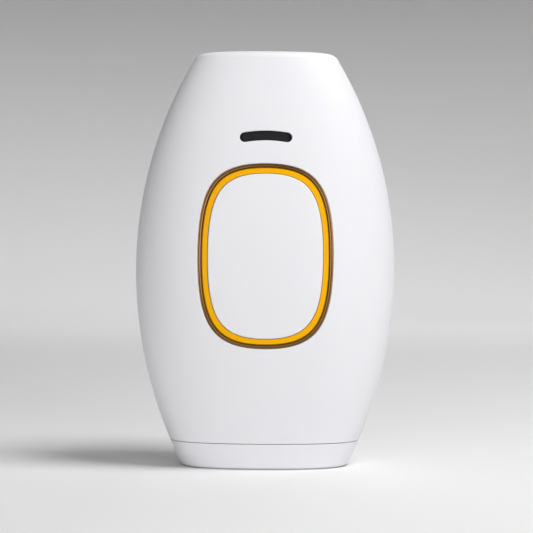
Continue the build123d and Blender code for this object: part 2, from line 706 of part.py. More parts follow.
with BuildPart() as rear_shell:
    add(casing_skin.part)
    split(bisect_by=Plane.XZ, keep=Keep.BOTTOM)
    split(bisect_by=Plane.XY.offset(SEAM_Z + SEAM_GAP / 2))
    add(seam_groove.part, mode=Mode.SUBTRACT)
    add(lip.part)
    add(rear_bosses.part)
    add(rear_clamps.part)
    add(bezel_opening.part, mode=Mode.SUBTRACT)
    with BuildSketch(Plane.XZ):
        with Locations(*case_screw_places):
            Circle(CASE_SCREW_RADIUS + SCREW_PASS_CLEARANCE)
    extrude(amount=-DEPTH, mode=Mode.SUBTRACT)
    with BuildSketch(Plane.XZ.offset(-CASE_SCREW_SEAT)):
        with Locations(*case_screw_places):
            Circle(CASE_SCREW_HEAD + SCREW_PASS_CLEARANCE)
    extrude(amount=-DEPTH, mode=Mode.SUBTRACT)
    with BuildSketch(Plane.XZ.offset(-FAN_BACK_Y)):
        for step in range(GRILLE_SLOTS):
            x = GRILLE_PITCH * (step - (GRILLE_SLOTS - 1) / 2)
            with Locations((x, FAN_Z)):
                SlotOverall(2 * sqrt(GRILLE_RADIUS ** 2 - x ** 2), GRILLE_SLOT, rotation=90)
    extrude(amount=-DEPTH, mode=Mode.SUBTRACT)
    with BuildSketch(Plane.XZ.offset(-FAN_BACK_Y + FAN_FROM_BACK)):
        for step in range(OUTLET_SLOTS):
            with Locations((0, OUTLET_Z + OUTLET_PITCH * (step - (OUTLET_SLOTS - 1) / 2))):
                SlotOverall(OUTLET_LENGTH, OUTLET_SLOT)
    extrude(amount=-DEPTH, mode=Mode.SUBTRACT)
    with BuildSketch(Plane.XZ.offset(-key_face_y)):
        with Locations((0, POWER_BUTTON_Z)):
            Circle(POWER_BUTTON_RADIUS + POWER_BUTTON_CLEARANCE)
    extrude(amount=-DEPTH, mode=Mode.SUBTRACT)
    with BuildSketch(Plane.XZ.offset(-FAN_BACK_Y)):
        with Locations(*fan_screw_places):
            Circle(FAN_SCREW_RADIUS + SCREW_HOLE_CLEARANCE)
    extrude(amount=-FAN_SCREW_BITE - SCREW_END_ROOM, mode=Mode.SUBTRACT)
    with BuildSketch(Plane.XZ.offset(-key_face_y)):
        with Locations(*key_screw_places):
            Circle(BOARD_SCREW_RADIUS + SCREW_HOLE_CLEARANCE)
    extrude(amount=KEY_BOARD_THICKNESS - BOARD_SCREW_LENGTH - SCREW_END_ROOM, mode=Mode.SUBTRACT)

with BuildPart() as tongue_root:
    add(boss_limit)
    split(bisect_by=Plane.XY.offset(SEAM_Z - SEAM_GAP / 2), keep=Keep.BOTTOM)

with BuildPart() as tongue:
    add(casing(WALL + FIT))
    split(bisect_by=Plane.XY.offset(base_boss_bottom - FIT), keep=Keep.BOTTOM)
    add(tongue_root.part)
    split(bisect_by=Plane.XY.offset(SEAM_Z - TONGUE_ROOT))
    add(casing(WALL + FIT + TONGUE_WALL), mode=Mode.SUBTRACT)

with BuildPart() as base_cap:
    add(casing_skin.part)
    split(bisect_by=Plane.XY.offset(SEAM_Z - SEAM_GAP / 2), keep=Keep.BOTTOM)
    add(foot_step.part, mode=Mode.SUBTRACT)
    add(tongue.part)
    with BuildSketch(Plane.XY.offset(WALL / 2)):
        with Locations(*base_screw_places):
            Circle(BASE_BOSS_RADIUS)
    extrude(amount=base_boss_bottom - WALL / 2)
    with BuildSketch(Plane.XY.offset(WALL / 2)):
        Rectangle(JACK_WIDTH + 2 * JACK_WALL, JACK_WIDTH + 2 * JACK_WALL)
        Rectangle(JACK_WIDTH + 2 * FIT, JACK_WIDTH + 2 * FIT, mode=Mode.SUBTRACT)
    extrude(amount=JACK_WALL_HEIGHT)
    with BuildSketch(Plane.XY):
        Circle(JACK_NOSE_RADIUS + FIT)
        with Locations(*base_screw_places):
            Circle(BASE_SCREW_RADIUS + SCREW_PASS_CLEARANCE)
    extrude(amount=base_boss_bottom, mode=Mode.SUBTRACT)
    with BuildSketch(Plane.XY):
        with Locations(*base_screw_places):
            Circle(BASE_SCREW_HEAD + SCREW_PASS_CLEARANCE)
    extrude(amount=BASE_SCREW_SEAT, mode=Mode.SUBTRACT)

# Trim ring: a bronze rim, a fine groove and a lower land, then a yellow band that rises to the button

ring_floor = POCKET_DEPTH - FIT
with BuildPart() as trim_ring:
    add(oval_layer(-FIT, -BRONZE_RIM, BRONZE_RIM_SINK, ring_floor))
    add(oval_layer(-FIT, -BRONZE_RIM - BRONZE_GROOVE, BRONZE_GROOVE_SINK, ring_floor))
    add(oval_layer(-BRONZE_RIM - BRONZE_GROOVE, -BRONZE_WIDTH, BRONZE_LAND_SINK, ring_floor))

with BuildPart() as yellow_band:
    add(oval_layer(-BRONZE_WIDTH - FIT, -BRONZE_WIDTH - BAND_WIDTH, BAND_SINK, ring_floor))
    band_top = yellow_band.faces().sort_by(Axis.Y)[0]
    band_rim = band_top.edges().sort_by(SortBy.LENGTH)[-1]
    chamfer(band_rim, BAND_DROP, BAND_WIDTH - FIT - BAND_CREST, reference=band_top)

# Flash button

stem_end_y = CONTROL_Y - SWITCH_HEIGHT - PLUNGER_RISE - CONTACT_GAP
spring_seat_y = FRONT_Y + BUTTON_THICKNESS + SPRING_SEAT_DROP
hook_end_y = FRONT_Y + POCKET_DEPTH + TRAY_FLOOR + HOOK_REACH
with BuildPart() as button_legs:
    with BuildSketch(RING_PLANE.offset(-stem_end_y)):
        Circle(BUTTON_STEM_RADIUS)
    extrude(amount=DEPTH)
    with BuildSketch(RING_PLANE.offset(-spring_seat_y)):
        with Locations(*spring_places):
            Circle(SPRING_SEAT_RADIUS)
    extrude(amount=DEPTH)
    with BuildSketch(RING_PLANE.offset(-hook_end_y)):
        for side in (-1, 1):
            with Locations((side * (HOOK_X + HOOK_THICKNESS / 2), 0)):
                Rectangle(HOOK_THICKNESS, HOOK_WIDTH)
    extrude(amount=DEPTH)
    add(casing(BUTTON_THICKNESS / 2), mode=Mode.INTERSECT)

with BuildPart() as hook_barbs:
    with BuildSketch(RING_PLANE.offset(-hook_end_y)):
        for side in (-1, 1):
            with Locations((side * (HOOK_X + (HOOK_THICKNESS + BUTTON_GAP + HOOK_BARB) / 2), 0)):
                Rectangle(HOOK_THICKNESS + BUTTON_GAP + HOOK_BARB, HOOK_WIDTH)
    extrude(amount=DEPTH)
    add(casing(POCKET_DEPTH + TRAY_FLOOR + HOOK_PLAY), mode=Mode.INTERSECT)

with BuildPart() as flash_button:
    add(oval_layer(-BUTTON_INSET, None, 0, BUTTON_THICKNESS))
    fillet(flash_button.faces().sort_by(Axis.Y)[0].edges(), BUTTON_EDGE_RADIUS)
    add(button_legs.part)
    add(hook_barbs.part)

flash_springs = springs(
    spring_places, RING_PLANE.offset(-cup_floor_y), cup_floor_y - spring_seat_y,
    SPRING_RADIUS, SPRING_WIRE, SPRING_TURNS,
)
flash_switch, flash_switch_plunger = tactile_switch(RING_PLANE.offset(-CONTROL_Y))

# Indicator

with BuildPart() as lens_face:
    with BuildSketch(Plane.XZ):
        with Locations((0, INDICATOR_Z)):
            Rectangle(LENS_LENGTH, INDICATOR_LENGTH)
    extrude(amount=DEPTH)
    add(indicator_layer(-LENS_GAP, LENS_SINK, WALL + 2 * FIT), mode=Mode.INTERSECT)

with BuildPart() as indicator_lens:
    add(lens_face.part)
    add(indicator_layer(LENS_FLANGE, WALL + FIT, WALL + FIT + LENS_FLANGE_THICKNESS))

led_places = [
    (LED_PITCH * (step - (LED_COUNT - 1) / 2), 0) for step in range(LED_COUNT)
]
led_plane = Plane(origin=(0, CONTROL_Y, INDICATOR_Z), x_dir=(1, 0, 0), z_dir=(0, -1, 0))
with BuildPart() as status_leds:
    with BuildSketch(led_plane):
        with Locations(*led_places):
            Rectangle(LED_SIZE, LED_SIZE)
    extrude(amount=LED_HEIGHT)

with BuildPart() as baffle_root:
    with BuildSketch(led_plane):
        RectangleRounded(INDICATOR_LENGTH, INDICATOR_HEIGHT + 2 * BAFFLE_WALL, BAFFLE_WALL)
    extrude(amount=2 * LED_HEIGHT)

with BuildPart() as light_baffle:
    add(indicator_layer(BAFFLE_WALL, WALL + 2 * FIT + LENS_FLANGE_THICKNESS, DEPTH / 4))
    add(baffle_root.part)
    split(bisect_by=Plane.XZ.offset(-CONTROL_Y))
    with BuildSketch(led_plane):
        with Locations(*led_places):
            Rectangle(LED_PITCH - BAFFLE_WALL, INDICATOR_HEIGHT - BAFFLE_WALL)
    extrude(amount=DEPTH, mode=Mode.SUBTRACT)

# Treatment window

bezel_bottom = HOLDER_TOP
glass_length = WINDOW_LENGTH + 2 * GLASS_LEDGE
glass_width = WINDOW_WIDTH + 2 * GLASS_LEDGE
with BuildPart() as window_bezel:
    with BuildSketch(Plane.XY.offset(HEIGHT)):
        RectangleRounded(BEZEL_LENGTH, BEZEL_WIDTH, BEZEL_CORNER)
    extrude(amount=-BEZEL_FLANGE)
    with BuildSketch(Plane.XY.offset(HEIGHT - BEZEL_FLANGE)):
        RectangleRounded(
            BEZEL_LENGTH - 2 * BEZEL_STEP,
            BEZEL_WIDTH - 2 * BEZEL_STEP,
            BEZEL_CORNER - BEZEL_STEP,
        )
    extrude(amount=bezel_bottom - HEIGHT + BEZEL_FLANGE)
    with BuildSketch(Plane.XY.offset(bezel_bottom)):
        RectangleRounded(glass_length + 2 * FIT, glass_width + 2 * FIT, WINDOW_CORNER)
        with Locations((-PIN_X, 0), (PIN_X, 0)):
            Circle(PIN_WELL_RADIUS)
    extrude(amount=GLASS_TOP - bezel_bottom, mode=Mode.SUBTRACT)
    with BuildSketch(Plane.XY.offset(bezel_bottom)):
        RectangleRounded(WINDOW_LENGTH, WINDOW_WIDTH, WINDOW_CORNER)
        with Locations((-PIN_X, 0), (PIN_X, 0)):
            Circle(PIN_RADIUS + FIT)
    extrude(amount=HEIGHT, mode=Mode.SUBTRACT)
    chamfer(
        window_bezel.faces().sort_by(Axis.Z)[-1].inner_wires().sort_by(SortBy.LENGTH)[-1].edges(),
        WINDOW_CHAMFER,
    )

with BuildPart() as filter_window:
    with BuildSketch(Plane.XY.offset(GLASS_TOP)):
        RectangleRounded(glass_length, glass_width, WINDOW_CORNER)
    extrude(amount=-GLASS_THICKNESS)

with BuildPart() as window_gasket:
    with BuildSketch(Plane.XY.offset(GASKET_TOP)):
        RectangleRounded(glass_length, glass_width, WINDOW_CORNER)
        RectangleRounded(
            glass_length - 2 * GASKET_WIDTH,
            glass_width - 2 * GASKET_WIDTH,
            WINDOW_CORNER / 2,
            mode=Mode.SUBTRACT,
        )
    extrude(amount=-GASKET_THICKNESS)

well_floor = HOLDER_TOP - PIN_WELL_DEPTH
sensor_pins = {}
sensor_springs = {}
for side, name in ((-1, "left"), (1, "right")):
    axis_plane = Plane.XY.offset(GLASS_TOP - CONTACT_GAP)
    with BuildPart() as pin:
        with BuildSketch(axis_plane):
            with Locations((side * PIN_X, 0)):
                Circle(PIN_RADIUS)
        extrude(amount=HEIGHT + PIN_RISE - GLASS_TOP + CONTACT_GAP)
        fillet(pin.edges().group_by(Axis.Z)[-1], PIN_RADIUS / 2)
        with BuildSketch(axis_plane):
            with Locations((side * PIN_X, 0)):
                Circle(PIN_FLANGE_RADIUS)
        extrude(amount=-PIN_FLANGE)
        with BuildSketch(axis_plane.offset(-PIN_FLANGE)):
            with Locations((side * PIN_X, 0)):
                Circle(PIN_STEM_RADIUS)
        extrude(amount=-PIN_STEM)
    sensor_pins[name] = pin
    sensor_springs[name] = springs(
        [(side * PIN_X, 0)], Plane.XY.offset(well_floor), GLASS_TOP - CONTACT_GAP - PIN_FLANGE - well_floor,
        PIN_SPRING_RADIUS, PIN_SPRING_WIRE, PIN_SPRING_TURNS,
    )

with BuildPart() as sensor_contacts:
    with BuildSketch(Plane.XY.offset(well_floor)):
        with Locations((-PIN_X, 0), (PIN_X, 0)):
            Circle(PIN_WELL_RADIUS)
    extrude(amount=-SENSOR_CONTACT)

# Lamp module

with BuildPart() as lamp_holder:
    with BuildSketch(Plane.XY.offset(HOLDER_BOTTOM)):
        RectangleRounded(HOLDER_LENGTH, HOLDER_WIDTH, HOLDER_CORNER)
        Rectangle(HOLDER_CAVITY, 2 * REFLECTOR_HALF_WIDTH + 2 * FIT, mode=Mode.SUBTRACT)
    extrude(amount=HOLDER_HEIGHT)
    with BuildSketch(Plane.XY.offset(ear_z - EAR_HEIGHT / 2)):
        for side in (-1, 1):
            with Locations((side * (HOLDER_LENGTH + EAR_LENGTH) / 2, 0)):
                Rectangle(EAR_LENGTH, EAR_WIDTH)
    extrude(amount=EAR_HEIGHT)
    with BuildSketch(Plane.YZ.offset(-HOLDER_LENGTH)):
        with Locations((0, TUBE_Z)):
            Circle(CAP_RADIUS + FIT)
    extrude(amount=2 * HOLDER_LENGTH, mode=Mode.SUBTRACT)
    with BuildSketch(Plane.XY.offset(HOLDER_TOP)):
        with Locations((-PIN_X, 0), (PIN_X, 0)):
            Circle(PIN_WELL_RADIUS)
    extrude(amount=-PIN_WELL_DEPTH - SENSOR_CONTACT, mode=Mode.SUBTRACT)
    with BuildSketch(Plane.XY.offset(HOLDER_BOTTOM)):
        with Locations(*holder_screw_places):
            Circle(BOARD_SCREW_RADIUS + SCREW_HOLE_CLEARANCE)
    extrude(amount=HOLDER_SCREW_LENGTH, mode=Mode.SUBTRACT)

with BuildPart() as reflector:
    with BuildSketch(Plane.YZ.offset(-HOLDER_CAVITY / 2 + FIT)):
        with Locations((0, HOLDER_TOP)):
            Ellipse(REFLECTOR_HALF_WIDTH, HOLDER_HEIGHT)
            Ellipse(
                REFLECTOR_HALF_WIDTH - REFLECTOR_SHEET,
                HOLDER_HEIGHT - REFLECTOR_SHEET,
                mode=Mode.SUBTRACT,
            )
            with Locations((0, HOLDER_HEIGHT)):
                Rectangle(HOLDER_WIDTH, 2 * HOLDER_HEIGHT, mode=Mode.SUBTRACT)
    extrude(amount=HOLDER_CAVITY - 2 * FIT)

with BuildPart() as flash_tube:
    with BuildSketch(Plane.YZ.offset(-TUBE_LENGTH / 2)):
        with Locations((0, TUBE_Z)):
            Circle(TUBE_RADIUS)
            Circle(TUBE_RADIUS - TUBE_WALL, mode=Mode.SUBTRACT)
    extrude(amount=TUBE_LENGTH)

with BuildPart() as tube_electrodes:
    with BuildSketch(Plane.YZ.offset(TUBE_LENGTH / 2 - CAP_OVERLAP)):
        with Locations((0, TUBE_Z)):
            Circle(CAP_RADIUS)
    extrude(amount=CAP_LENGTH)
    with BuildSketch(Plane.YZ.offset(TUBE_LENGTH / 2 - CAP_OVERLAP)):
        with Locations((0, TUBE_Z)):
            Circle(TUBE_RADIUS)
    extrude(amount=CAP_OVERLAP, mode=Mode.SUBTRACT)
    with BuildSketch(Plane.YZ.offset(TUBE_LENGTH / 2)):
        with Locations((0, TUBE_Z)):
            Circle(ELECTRODE_RADIUS)
    extrude(amount=-ELECTRODE_LENGTH)
    mirror(about=Plane.YZ)

with BuildPart() as heat_sink:
    with BuildSketch(Plane.XY.offset(HOLDER_BOTTOM)):
        RectangleRounded(HOLDER_LENGTH, HOLDER_WIDTH, HOLDER_CORNER)
        with Locations(*holder_screw_places):
            Circle(BOARD_SCREW_RADIUS + SCREW_PASS_CLEARANCE, mode=Mode.SUBTRACT)
    extrude(amount=-HEAT_SINK_PLATE)
    with BuildSketch(Plane.XY.offset(HOLDER_BOTTOM - HEAT_SINK_PLATE)):
        with GridLocations(FIN_SPREAD / (FIN_COUNT - 1), 0, FIN_COUNT, 1):
            Rectangle(FIN_THICKNESS, FIN_LENGTH)
    extrude(amount=HEAT_SINK_PLATE - HEAT_SINK_HEIGHT)

thermostat_z = HOLDER_BOTTOM - HEAT_SINK_PLATE - THERMOSTAT_SIZE / 2
with BuildPart() as thermal_cutout:
    with BuildSketch(Plane(origin=(0, -FIN_LENGTH / 2, thermostat_z), x_dir=(1, 0, 0), z_dir=(0, -1, 0))):
        RectangleRounded(THERMOSTAT_LENGTH, THERMOSTAT_SIZE, THERMOSTAT_SIZE / 4)
    extrude(amount=THERMOSTAT_THICKNESS)

holder_underside = Plane(
    origin=(0, 0, HOLDER_BOTTOM - HEAT_SINK_PLATE), x_dir=(1, 0, 0), z_dir=(0, 0, -1),
)
lamp_screws = screw(
    holder_underside, holder_screw_places, BOARD_SCREW_RADIUS, HOLDER_SCREW_LENGTH,
    BOARD_SCREW_HEAD, BOARD_SCREW_HEAD_HEIGHT,
)

# Circuit boards and what stands on them

with BuildPart() as control_board:
    with BuildSketch(Plane.XZ.offset(-CONTROL_Y)):
        with Locations((0, (CONTROL_BOTTOM + CONTROL_TOP) / 2)):
            RectangleRounded(2 * CONTROL_HALF_WIDTH, CONTROL_TOP - CONTROL_BOTTOM, BOARD_CORNER)
        with Locations(*control_screw_places):
            Circle(BOARD_SCREW_RADIUS + SCREW_PASS_CLEARANCE, mode=Mode.SUBTRACT)
    extrude(amount=-CONTROL_THICKNESS)

with BuildPart() as control_chip:
    with BuildSketch(Plane.XZ.offset(-CONTROL_Y)):
        with Locations((0, CONTROL_BOTTOM + CHIP_RISE)):
            Rectangle(CHIP_SIZE, CHIP_SIZE)
    extrude(amount=CHIP_HEIGHT)

control_screws = screw(
    BACK_PLANE.offset(CONTROL_Y + CONTROL_THICKNESS), control_screw_places, BOARD_SCREW_RADIUS,
    BOARD_SCREW_LENGTH, BOARD_SCREW_HEAD, BOARD_SCREW_HEAD_HEIGHT,
)

with BuildPart() as power_board:
    with BuildSketch(Plane.XZ.offset(-POWER_Y)):
        with Locations((0, (POWER_BOTTOM + POWER_TOP) / 2)):
            RectangleRounded(2 * POWER_HALF_WIDTH, POWER_TOP - POWER_BOTTOM, BOARD_CORNER)
        with Locations(*power_screw_places):
            Circle(BOARD_SCREW_RADIUS + SCREW_PASS_CLEARANCE, mode=Mode.SUBTRACT)
    extrude(amount=-POWER_THICKNESS)

power_screws = screw(
    BACK_PLANE.offset(POWER_REAR_Y), power_screw_places, BOARD_SCREW_RADIUS,
    BOARD_SCREW_LENGTH, BOARD_SCREW_HEAD, BOARD_SCREW_HEAD_HEIGHT,
)

with BuildPart() as board_header:
    with BuildSketch(Plane.XZ.offset(-POWER_Y)):
        with Locations((0, CONTROL_BOTTOM + HEADER_RISE)):
            Rectangle(HEADER_LENGTH, HEADER_WIDTH)
    extrude(amount=BOARD_GAP)

with BuildPart() as transformer_core:
    with BuildSketch(Plane.XY.offset(UPPER_ROW_Z - TRANSFORMER_WIDTH / 2)):
        with Locations((TRANSFORMER_X, POWER_REAR_Y + TRANSFORMER_HEIGHT / 2)):
            Rectangle(TRANSFORMER_LENGTH, TRANSFORMER_HEIGHT)
            window = (TRANSFORMER_HEIGHT - 3 * CORE_BAR) / 2
            with Locations((0, -(CORE_BAR + window) / 2), (0, (CORE_BAR + window) / 2)):
                Rectangle(TRANSFORMER_LENGTH - 2 * CORE_BAR, window, mode=Mode.SUBTRACT)
    extrude(amount=TRANSFORMER_WIDTH)
    winding_room = TRANSFORMER_LENGTH - 2 * CORE_BAR
    with BuildSketch(Plane.YZ.offset(TRANSFORMER_X - winding_room / 2)):
        with Locations((POWER_REAR_Y + TRANSFORMER_HEIGHT / 2, UPPER_ROW_Z)):
            Rectangle(TRANSFORMER_HEIGHT - 2 * CORE_BAR, TRANSFORMER_WIDTH)
            Rectangle(CORE_BAR, TRANSFORMER_WIDTH - 2 * CORE_BAR, mode=Mode.SUBTRACT)
    extrude(amount=winding_room, mode=Mode.SUBTRACT)

with BuildPart() as transformer_winding:
    with BuildSketch(Plane.YZ.offset(TRANSFORMER_X - winding_room / 2 + FIT)):
        with Locations((POWER_REAR_Y + TRANSFORMER_HEIGHT / 2, UPPER_ROW_Z)):
            RectangleRounded(TRANSFORMER_HEIGHT - 2 * CORE_BAR - 2 * FIT, TRANSFORMER_WIDTH, CORE_BAR / 2)
            Rectangle(CORE_BAR + 2 * FIT, TRANSFORMER_WIDTH - 2 * CORE_BAR + 2 * FIT, mode=Mode.SUBTRACT)
    extrude(amount=winding_room - 2 * FIT)

with BuildPart() as trigger_transformer:
    with BuildSketch(BACK_PLANE.offset(POWER_REAR_Y)):
        with Locations((0, UPPER_ROW_Z)):
            Circle(TRIGGER_RADIUS)
    extrude(amount=TRIGGER_HEIGHT)
    fillet(trigger_transformer.edges().group_by(Axis.Y)[-1], TRIGGER_RADIUS / 6)

with BuildPart() as power_transistor:
    with BuildSketch(Plane.XZ.offset(-POWER_REAR_Y)):
        with Locations((TRANSISTOR_X, UPPER_ROW_Z)):
            Rectangle(TRANSISTOR_WIDTH, TRANSISTOR_THICKNESS)
    extrude(amount=-TRANSISTOR_HEIGHT)

with BuildPart() as transistor_tab:
    tab_bottom = UPPER_ROW_Z - TRANSISTOR_THICKNESS / 2
    with BuildSketch(Plane.XY.offset(tab_bottom)):
        with Locations((TRANSISTOR_X, POWER_REAR_Y + TRANSISTOR_HEIGHT + TAB_LENGTH / 2)):
            Rectangle(TRANSISTOR_WIDTH, TAB_LENGTH)
            Circle(TAB_HOLE_RADIUS, mode=Mode.SUBTRACT)
    extrude(amount=TAB_THICKNESS)

with BuildPart() as filter_capacitors:
    with BuildSketch(BACK_PLANE.offset(POWER_REAR_Y)):
        with Locations((-FILTER_CAP_X, FILTER_CAP_Z), (FILTER_CAP_X, FILTER_CAP_Z)):
            Circle(FILTER_CAP_RADIUS)
    extrude(amount=FILTER_CAP_HEIGHT)
    fillet(filter_capacitors.edges().group_by(Axis.Y)[-1], FILTER_CAP_RADIUS / 6)

with BuildPart() as flash_capacitor:
    with BuildSketch(Plane.YZ.offset(-CAPACITOR_LENGTH / 2)):
        with Locations((capacitor_y, CAPACITOR_Z)):
            Circle(CAPACITOR_RADIUS - CAPACITOR_SLEEVE)
    extrude(amount=CAPACITOR_LENGTH)
    fillet(flash_capacitor.edges(), CAPACITOR_EDGE_RADIUS)

with BuildPart() as capacitor_sleeve:
    with BuildSketch(Plane.YZ.offset(-CAPACITOR_LENGTH / 2 + CAPACITOR_EDGE_RADIUS)):
        with Locations((capacitor_y, CAPACITOR_Z)):
            Circle(CAPACITOR_RADIUS)
            Circle(CAPACITOR_RADIUS - CAPACITOR_SLEEVE, mode=Mode.SUBTRACT)
    extrude(amount=CAPACITOR_LENGTH - 2 * CAPACITOR_EDGE_RADIUS)

# Fan

fan_middle = FAN_PLANE.offset(FAN_THICKNESS / 2)
with BuildPart() as fan_frame:
    with BuildSketch(FAN_PLANE):
        RectangleRounded(FAN_SIZE, FAN_SIZE, FAN_CORNER)
        Circle(FAN_BORE_RADIUS, mode=Mode.SUBTRACT)
    extrude(amount=FAN_THICKNESS)
    with BuildSketch(FAN_PLANE):
        Circle(FAN_HUB_RADIUS)
        Rectangle(2 * FAN_BORE_RADIUS + FAN_STRUT / 2, FAN_STRUT)
        Rectangle(FAN_STRUT, 2 * FAN_BORE_RADIUS + FAN_STRUT / 2)
    extrude(amount=FAN_PLATE)
    with BuildSketch(FAN_PLANE):
        Circle(BUSH_RADIUS + PRESS_CLEARANCE)
        with GridLocations(FAN_SCREW_SPACING, FAN_SCREW_SPACING, 2, 2):
            Circle(FAN_SCREW_RADIUS + SCREW_PASS_CLEARANCE)
    extrude(amount=FAN_THICKNESS, mode=Mode.SUBTRACT)

with BuildPart() as fan_bush:
    with BuildSketch(FAN_PLANE):
        Circle(BUSH_RADIUS)
        Circle(SHAFT_RADIUS + SHAFT_CLEARANCE, mode=Mode.SUBTRACT)
    extrude(amount=BUSH_LENGTH)

with BuildPart() as fan_stator:
    with BuildSketch(FAN_PLANE.offset(FAN_PLATE)):
        Circle(STATOR_RADIUS)
        Circle(BUSH_RADIUS + PRESS_CLEARANCE, mode=Mode.SUBTRACT)
    extrude(amount=STATOR_HEIGHT)

hub_start = FAN_PLATE + FAN_RUNNING_GAP
hub_end = FAN_THICKNESS - FAN_RUNNING_GAP
blade_root = FAN_HUB_RADIUS - FAN_HUB_WALL / 2
with BuildPart() as fan_rotor:
    with BuildSketch(FAN_PLANE.offset(hub_start)):
        Circle(FAN_HUB_RADIUS)
    extrude(amount=hub_end - hub_start)
    fillet(fan_rotor.edges().group_by(Axis.Y)[-1], FAN_HUB_WALL)
    with BuildSketch(FAN_PLANE.offset(hub_start)):
        Circle(FAN_HUB_RADIUS - FAN_HUB_WALL)
    extrude(amount=hub_end - hub_start - 2 * FAN_HUB_WALL, mode=Mode.SUBTRACT)
    with BuildSketch(FAN_PLANE.offset(hub_start)):
        Circle(SHAFT_RADIUS)
    extrude(amount=hub_end - hub_start - FAN_HUB_WALL / 2, mode=Mode.SUBTRACT)
    for step in range(FAN_BLADES):
        turn = 2 * pi * step / FAN_BLADES
        outward = Vector(cos(turn), 0, sin(turn))
        around = Vector(-sin(turn), 0, cos(turn))
        for reach, pitch in ((blade_root, FAN_ROOT_PITCH), (FAN_TIP_RADIUS, FAN_TIP_PITCH)):
            chord = around * cos(pitch * pi / 180) + Vector(0, 1, 0) * sin(pitch * pi / 180)
            with BuildSketch(Plane(origin=fan_middle.origin + outward * reach, x_dir=chord, z_dir=outward)):
                Rectangle(FAN_BLADE_CHORD * sqrt(reach / FAN_TIP_RADIUS), FAN_BLADE_THICKNESS)
        loft()

with BuildPart() as fan_shaft:
    with BuildSketch(FAN_PLANE.offset(FAN_RUNNING_GAP)):
        Circle(SHAFT_RADIUS)
    extrude(amount=hub_end - FAN_RUNNING_GAP - FAN_HUB_WALL / 2)

fan_screws = screw(
    Plane.XZ.offset(-FAN_FRONT_Y), fan_screw_places, FAN_SCREW_RADIUS, FAN_THICKNESS + FAN_SCREW_BITE,
    FAN_SCREW_HEAD, BOARD_SCREW_HEAD_HEIGHT,
)

# Power button and its board

button_plane = Plane(
    origin=(0, BACK_Y - POWER_BUTTON_SINK, POWER_BUTTON_Z), x_dir=(-1, 0, 0), z_dir=(0, 1, 0),
)
button_top = POWER_BUTTON_SINK + POWER_BUTTON_RISE
dish_radius = (POWER_BUTTON_DISH_RADIUS ** 2 + POWER_BUTTON_DISH ** 2) / (2 * POWER_BUTTON_DISH)
with BuildPart() as power_button:
    with BuildSketch(button_plane):
        Circle(POWER_BUTTON_RADIUS)
    extrude(amount=button_top)
    fillet(power_button.edges().group_by(Axis.Y)[-1], POWER_BUTTON_DISH)
    with Locations(button_plane.origin + (0, button_top - POWER_BUTTON_DISH + dish_radius, 0)):
        Sphere(dish_radius, mode=Mode.SUBTRACT)
    with BuildSketch(button_plane):
        Circle(POWER_BUTTON_RADIUS + POWER_BUTTON_FLANGE)
    extrude(amount=-POWER_BUTTON_FLANGE_THICKNESS)

key_plane = Plane(origin=(0, key_face_y, POWER_BUTTON_Z), x_dir=(-1, 0, 0), z_dir=(0, 1, 0))
power_switch, power_switch_plunger = tactile_switch(key_plane)

with BuildPart() as key_board:
    with BuildSketch(key_plane):
        RectangleRounded(KEY_BOARD_WIDTH, KEY_BOARD_HEIGHT, BOARD_CORNER)
        with Locations((-KEY_SCREW_X, 0), (KEY_SCREW_X, 0)):
            Circle(BOARD_SCREW_RADIUS + SCREW_PASS_CLEARANCE, mode=Mode.SUBTRACT)
    extrude(amount=-KEY_BOARD_THICKNESS)

key_screws = screw(
    Plane.XZ.offset(KEY_BOARD_THICKNESS - key_face_y), key_screw_places, BOARD_SCREW_RADIUS,
    BOARD_SCREW_LENGTH, BOARD_SCREW_HEAD, BOARD_SCREW_HEAD_HEIGHT,
)

# Power inlet

jack_top = WALL + JACK_BODY_HEIGHT
jack_bore_top = JACK_NOSE_SINK + JACK_BORE_DEPTH
with BuildPart() as dc_jack:
    with BuildSketch(Plane.XY.offset(WALL)):
        Rectangle(JACK_WIDTH, JACK_WIDTH)
    extrude(amount=JACK_BODY_HEIGHT)
    with BuildSketch(Plane.XY.offset(JACK_NOSE_SINK)):
        Circle(JACK_NOSE_RADIUS)
    extrude(amount=WALL - JACK_NOSE_SINK)
    with BuildSketch(Plane.XY.offset(JACK_NOSE_SINK)):
        Circle(JACK_BORE_RADIUS)
    extrude(amount=JACK_BORE_DEPTH, mode=Mode.SUBTRACT)
    with BuildSketch(Plane.XY.offset(jack_bore_top)):
        Circle(JACK_PIN_ROOT_RADIUS)
    extrude(amount=jack_top - jack_bore_top, mode=Mode.SUBTRACT)

with BuildPart() as jack_contacts:
    with BuildSketch(Plane.XY.offset(JACK_NOSE_SINK + JACK_PIN_SINK)):
        Circle(JACK_PIN_RADIUS)
    extrude(amount=JACK_BORE_DEPTH - JACK_PIN_SINK)
    fillet(jack_contacts.edges().group_by(Axis.Z)[0], JACK_PIN_RADIUS / 2)
    with BuildSketch(Plane.XY.offset(jack_bore_top)):
        Circle(JACK_PIN_ROOT_RADIUS)
    extrude(amount=jack_top + JACK_TAG - jack_bore_top)
    with BuildSketch(Plane.XY.offset(jack_top)):
        with Locations((JACK_TAG_X, 0)):
            Circle(JACK_PIN_RADIUS)
    extrude(amount=JACK_TAG)

# Case fasteners

case_screws = screw(
    BACK_PLANE.offset(CASE_SCREW_SEAT), case_screw_places, CASE_SCREW_RADIUS, CASE_SCREW_LENGTH,
    CASE_SCREW_HEAD, CASE_SCREW_HEAD_HEIGHT,
)
base_underside = Plane(origin=(0, 0, BASE_SCREW_SEAT), x_dir=(1, 0, 0), z_dir=(0, 0, -1))
base_screws = screw(
    base_underside, base_screw_places, BASE_SCREW_RADIUS, BASE_SCREW_LENGTH,
    BASE_SCREW_HEAD, BASE_SCREW_HEAD_HEIGHT,
)

# Internal leads: lamp, flash capacitor, fan, power button board and inlet

